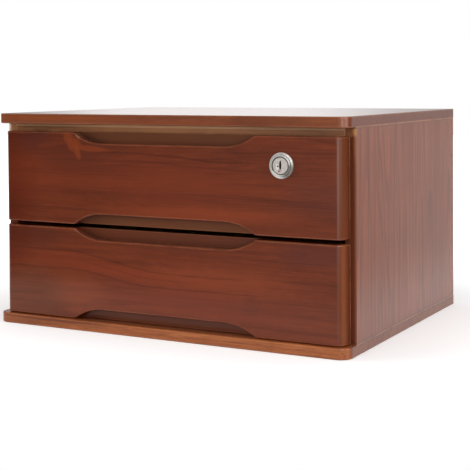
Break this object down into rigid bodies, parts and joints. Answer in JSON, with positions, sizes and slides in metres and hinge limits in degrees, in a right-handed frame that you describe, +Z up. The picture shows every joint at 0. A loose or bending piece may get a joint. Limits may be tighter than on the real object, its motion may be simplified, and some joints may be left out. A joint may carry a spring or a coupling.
{
  "type": "desktop drawer organizer",
  "caption": "Wooden desktop organizer with stacked pull-out drawers, routed finger scoops in the drawer fronts and a quarter-turn cam lock in the upper drawer.",
  "frame": {"origin": "centre of the footprint on the desk, in the underside of the bottom panel", "axes": "+X to the right seen from the front, +Y to the back, +Z up; drawers open towards -Y"},
  "size_m": [0.39, 0.3, 0.215],
  "materials": {
    "front_wood": "reddish-brown stain under gloss lacquer",
    "panel_wood": "brown stain under gloss lacquer",
    "side_wood": "pinkish-brown stain, upright grain, satin",
    "rail_wood": "olive-brown stain, satin",
    "box_wood": "clear matt lacquer on pale wood",
    "thin_board": "clear matt lacquer on thin pale board",
    "runner_wood": "waxed pale hardwood",
    "dowel_wood": "bare birch",
    "lock_nickel": "satin nickel plate",
    "zinc_plate": "zinc plate",
    "screw_steel": "zinc-plated steel"
  },
  "bodies": {
    "case": {"top_panel": "panel_wood", "bottom_panel": "panel_wood", "left_side_panel": "side_wood", "right_side_panel": "side_wood", "back_panel": "side_wood", "front_top_rail": "rail_wood", "upper_left_runner": "runner_wood", "upper_right_runner": "runner_wood", "lower_left_runner": "runner_wood", "lower_right_runner": "runner_wood", "top_dowels": "dowel_wood", "rail_dowels": "dowel_wood", "base_screws": "screw_steel", "back_screws": "screw_steel", "runner_screws": "screw_steel"},
    "upper_drawer": {"upper_drawer_front": "front_wood", "upper_drawer_left_side": "box_wood", "upper_drawer_right_side": "box_wood", "upper_drawer_back": "box_wood", "upper_drawer_bottom": "thin_board", "upper_drawer_dowels": "dowel_wood", "upper_drawer_back_screws": "screw_steel", "upper_drawer_bottom_screws": "screw_steel", "lock_body": "lock_nickel", "lock_nut": "zinc_plate"},
    "lower_drawer": {"lower_drawer_front": "front_wood", "lower_drawer_left_side": "box_wood", "lower_drawer_right_side": "box_wood", "lower_drawer_back": "box_wood", "lower_drawer_bottom": "thin_board", "lower_drawer_dowels": "dowel_wood", "lower_drawer_back_screws": "screw_steel", "lower_drawer_bottom_screws": "screw_steel"},
    "lock_cylinder": {"lock_plug": "lock_nickel", "cam_stop_washer": "zinc_plate", "lock_cam": "zinc_plate", "cam_screw": "screw_steel"}
  },
  "joints": [
    {"name": "upper_drawer_slide", "type": "slide", "parent": "case", "child": "upper_drawer", "axis": [0, -1, 0], "range_m": [0, 0.2]},
    {"name": "lower_drawer_slide", "type": "slide", "parent": "case", "child": "lower_drawer", "axis": [0, -1, 0], "range_m": [0, 0.2]},
    {"name": "lock_turn", "type": "hinge", "parent": "upper_drawer", "child": "lock_cylinder", "pos_m": [0.129, -0.145, 0.17], "axis": [0, 1, 0], "range_deg": [0, 90]}
  ]
}
